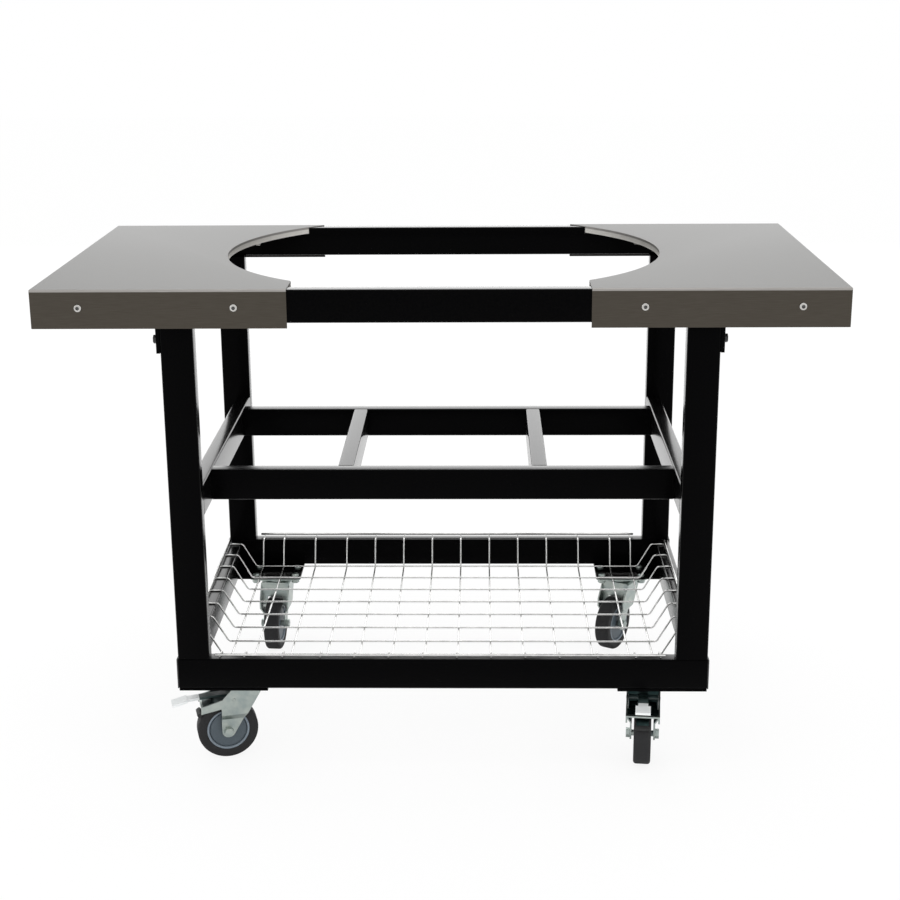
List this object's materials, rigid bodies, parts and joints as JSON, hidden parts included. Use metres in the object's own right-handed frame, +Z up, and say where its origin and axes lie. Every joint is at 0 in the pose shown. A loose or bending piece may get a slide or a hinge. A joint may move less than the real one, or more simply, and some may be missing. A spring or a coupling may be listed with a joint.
{
  "type": "kamado grill table",
  "caption": "Wheeled table for a kamado grill: black tube frame, two stainless side tables round a circular opening, wire basket below, swivel casters.",
  "frame": {"origin": "on the floor, under the middle of the bounding box; the frame's own middle is 18 mm behind it, because the raised brake pedal reaches out in front", "axes": "+X to the right along the table seen from the front, +Y to the rear, +Z up; the front is the side with the braked casters"},
  "size_m": [1.228, 0.6733, 0.8],
  "materials": {
    "black_powder_coat": "satin to semi-gloss black powder coat",
    "brushed_stainless": "brushed along the table's length, satin",
    "bright_wire": "bright plated wire",
    "zinc_plate": "bright zinc plating",
    "screw_steel": "plain stainless",
    "black_bolt": "black oxide",
    "tread_rubber": "matt dark grey rubber",
    "hub_plastic": "moulded grey plastic",
    "pedal_plastic": "pale coated pressing",
    "cap_plastic": "moulded black plastic"
  },
  "bodies": {
    "frame": {"base_rail_front": "black_powder_coat", "base_rail_left": "black_powder_coat", "base_rail_rear": "black_powder_coat", "base_rail_right": "black_powder_coat", "caster_bolt_nuts": "zinc_plate", "caster_bolts": "zinc_plate", "caster_kingpins": "zinc_plate", "caster_top_plate_front_left": "zinc_plate", "caster_top_plate_front_right": "zinc_plate", "caster_top_plate_rear_left": "zinc_plate", "caster_top_plate_rear_right": "zinc_plate", "corner_plate_front_left": "black_powder_coat", "corner_plate_front_right": "black_powder_coat", "corner_plate_rear_left": "black_powder_coat", "corner_plate_rear_right": "black_powder_coat", "leg_front_left": "black_powder_coat", "leg_front_right": "black_powder_coat", "leg_rear_left": "black_powder_coat", "leg_rear_right": "black_powder_coat", "leg_tab_bolts": "black_bolt", "leg_tabs": "black_powder_coat", "shelf_crossbar_left": "black_powder_coat", "shelf_crossbar_right": "black_powder_coat", "shelf_rail_front": "black_powder_coat", "shelf_rail_rear": "black_powder_coat", "shelf_side_rail_left": "black_powder_coat", "shelf_side_rail_right": "black_powder_coat", "side_table_left": "brushed_stainless", "side_table_right": "brushed_stainless", "table_screw_nuts": "screw_steel", "table_screws": "screw_steel", "top_rail_front": "black_powder_coat", "top_rail_left": "black_powder_coat", "top_rail_rear": "black_powder_coat", "top_rail_right": "black_powder_coat", "tube_end_caps": "cap_plastic"},
    "swivel_front_left": {"caster_fork_front_left": "zinc_plate", "caster_axle_front_left": "zinc_plate", "brake_pedal_pin_front_left": "zinc_plate"},
    "wheel_front_left": {"wheel_hub_front_left": "hub_plastic", "wheel_tread_front_left": "tread_rubber"},
    "pedal_front_left": {"brake_pedal_front_left": "pedal_plastic"},
    "swivel_front_right": {"caster_fork_front_right": "zinc_plate", "caster_axle_front_right": "zinc_plate", "brake_pedal_pin_front_right": "zinc_plate"},
    "wheel_front_right": {"wheel_hub_front_right": "hub_plastic", "wheel_tread_front_right": "tread_rubber"},
    "pedal_front_right": {"brake_pedal_front_right": "pedal_plastic"},
    "swivel_rear_left": {"caster_fork_rear_left": "zinc_plate", "caster_axle_rear_left": "zinc_plate"},
    "wheel_rear_left": {"wheel_hub_rear_left": "hub_plastic", "wheel_tread_rear_left": "tread_rubber"},
    "swivel_rear_right": {"caster_fork_rear_right": "zinc_plate", "caster_axle_rear_right": "zinc_plate"},
    "wheel_rear_right": {"wheel_hub_rear_right": "hub_plastic", "wheel_tread_rear_right": "tread_rubber"},
    "basket": {"basket_long_wires": "bright_wire", "basket_cross_wires": "bright_wire", "basket_rim_rods": "bright_wire"}
  },
  "joints": [
    {"name": "swivel_turn_front_left", "type": "hinge", "parent": "frame", "child": "swivel_front_left", "pos_m": [-0.3302, -0.2172, 0.1265], "axis": [0, 0, 1], "continuous": true},
    {"name": "wheel_spin_front_left", "type": "hinge", "parent": "swivel_front_left", "child": "wheel_front_left", "pos_m": [-0.35918, -0.22496, 0.05], "axis": [0.2588, -0.9659, 0], "continuous": true},
    {"name": "brake_press_front_left", "type": "hinge", "parent": "swivel_front_left", "child": "pedal_front_left", "pos_m": [-0.34952, -0.22238, 0.1085], "axis": [0.2588, -0.9659, 0], "range_deg": [-14.5, 0]},
    {"name": "swivel_turn_front_right", "type": "hinge", "parent": "frame", "child": "swivel_front_right", "pos_m": [0.3302, -0.2172, 0.1265], "axis": [0, 0, 1], "continuous": true},
    {"name": "wheel_spin_front_right", "type": "hinge", "parent": "swivel_front_right", "child": "wheel_front_right", "pos_m": [0.32706, -0.24704, 0.05], "axis": [0.9945, -0.1045, 0], "continuous": true},
    {"name": "brake_press_front_right", "type": "hinge", "parent": "swivel_front_right", "child": "pedal_front_right", "pos_m": [0.32811, -0.23709, 0.1085], "axis": [0.9945, -0.1045, 0], "range_deg": [0, 14.5]},
    {"name": "swivel_turn_rear_left", "type": "hinge", "parent": "frame", "child": "swivel_rear_left", "pos_m": [-0.3302, 0.2532, 0.1265], "axis": [0, 0, 1], "continuous": true},
    {"name": "wheel_spin_rear_left", "type": "hinge", "parent": "swivel_rear_left", "child": "wheel_rear_left", "pos_m": [-0.33255, 0.22329, 0.05], "axis": [0.9969, -0.0785, 0], "continuous": true},
    {"name": "swivel_turn_rear_right", "type": "hinge", "parent": "frame", "child": "swivel_rear_right", "pos_m": [0.3302, 0.2532, 0.1265], "axis": [0, 0, 1], "continuous": true},
    {"name": "wheel_spin_rear_right", "type": "hinge", "parent": "swivel_rear_right", "child": "wheel_rear_right", "pos_m": [0.31475, 0.22748, 0.05], "axis": [0.8572, -0.515, 0], "continuous": true},
    {"name": "basket_lift", "type": "slide", "parent": "frame", "child": "basket", "axis": [0, 0, 1], "range_m": [0, 0.2]}
  ]
}
